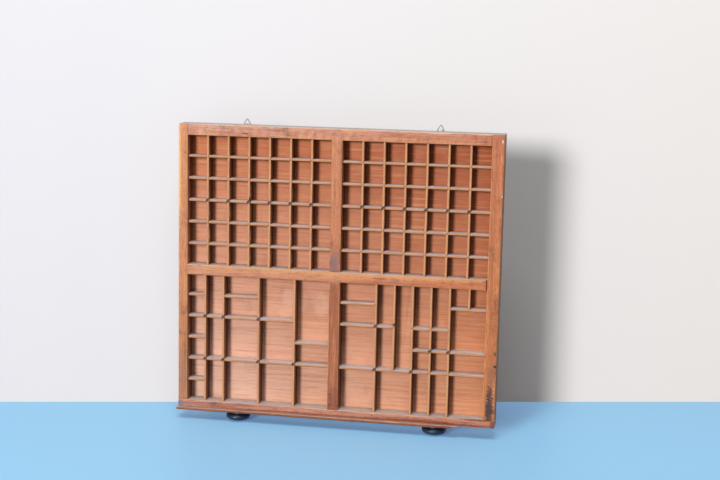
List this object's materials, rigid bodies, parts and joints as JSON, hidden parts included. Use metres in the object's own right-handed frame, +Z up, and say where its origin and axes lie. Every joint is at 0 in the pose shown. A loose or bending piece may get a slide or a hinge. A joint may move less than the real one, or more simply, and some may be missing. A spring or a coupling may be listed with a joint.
{
  "type": "printer's type case",
  "caption": "Shallow wooden printer's type case: a framed tray divided by thin slips into compartments, standing on two drawer knobs, with wall-hanging rings.",
  "frame": {"origin": "centre of the bounding box, at the level the knobs stand on", "axes": "+X to the right along the tray's width, +Y from the open face to the back, +Z up"},
  "size_m": [0.421, 0.033, 0.3994],
  "materials": {
    "frame_wood": "aged reddish-brown hardwood, thin worn varnish",
    "divider_wood": "thin hardwood slips, worn pale on the front edges",
    "plywood_back": "salmon-coloured plywood with fine horizontal grain",
    "black_knob": "black, smooth, half gloss",
    "hanger_steel": "dull zinc-plated wire and strap",
    "nail_steel": "darkened iron",
    "screw_steel": "dull steel"
  },
  "bodies": {
    "tray": {"left_stile": "frame_wood", "right_stile": "frame_wood", "top_rail": "frame_wood", "cross_rail": "frame_wood", "front_rail": "frame_wood", "upper_mullion": "frame_wood", "lower_mullion": "frame_wood", "back_panel": "plywood_back", "front_strip": "frame_wood", "upper_left_upright_1": "divider_wood", "upper_left_upright_2": "divider_wood", "upper_left_upright_3": "divider_wood", "upper_left_upright_4": "divider_wood", "upper_left_upright_5": "divider_wood", "upper_left_upright_6": "divider_wood", "upper_left_long_shelf_row_3": "divider_wood", "upper_left_short_shelves_row_1": "divider_wood", "upper_left_short_shelves_row_2": "divider_wood", "upper_left_short_shelves_row_4": "divider_wood", "upper_left_short_shelves_row_5": "divider_wood", "upper_right_upright_1": "divider_wood", "upper_right_upright_2": "divider_wood", "upper_right_upright_3": "divider_wood", "upper_right_upright_4": "divider_wood", "upper_right_upright_5": "divider_wood", "upper_right_upright_6": "divider_wood", "upper_right_long_shelf_row_3": "divider_wood", "upper_right_short_shelves_row_1": "divider_wood", "upper_right_short_shelves_row_2": "divider_wood", "upper_right_short_shelves_row_4": "divider_wood", "upper_right_short_shelves_row_5": "divider_wood", "lower_left_upright_1": "divider_wood", "lower_left_upright_2": "divider_wood", "lower_left_upright_3": "divider_wood", "lower_left_upright_4": "divider_wood", "lower_left_long_shelf_row_2": "divider_wood", "lower_left_long_shelf_row_4": "divider_wood", "lower_left_short_shelves": "divider_wood", "lower_right_upright_1": "divider_wood", "lower_right_upright_2": "divider_wood", "lower_right_upright_3": "divider_wood", "lower_right_upright_4": "divider_wood", "lower_right_upright_5": "divider_wood", "lower_right_upright_6": "divider_wood", "lower_right_long_shelf_row_2": "divider_wood", "lower_right_long_shelf_row_3": "divider_wood", "lower_right_long_shelf_row_4": "divider_wood", "lower_right_long_shelf_row_1": "divider_wood", "lower_right_short_shelves": "divider_wood", "left_knob": "black_knob", "right_knob": "black_knob", "left_hanger_strap": "hanger_steel", "right_hanger_strap": "hanger_steel", "frame_nails": "nail_steel", "panel_nails": "nail_steel", "hanger_screws": "screw_steel", "knob_screws": "screw_steel"},
    "left_ring": {"left_hanger_ring": "hanger_steel"},
    "right_ring": {"right_hanger_ring": "hanger_steel"}
  },
  "joints": [
    {"name": "left_ring_swing", "type": "hinge", "parent": "tray", "child": "left_ring", "pos_m": [-0.125, 0.01512, 0.3909], "axis": [-1, 0, 0], "range_deg": [-35, 160]},
    {"name": "right_ring_swing", "type": "hinge", "parent": "tray", "child": "right_ring", "pos_m": [0.127, 0.01512, 0.3917], "axis": [-1, 0, 0], "range_deg": [-55, 160]}
  ]
}
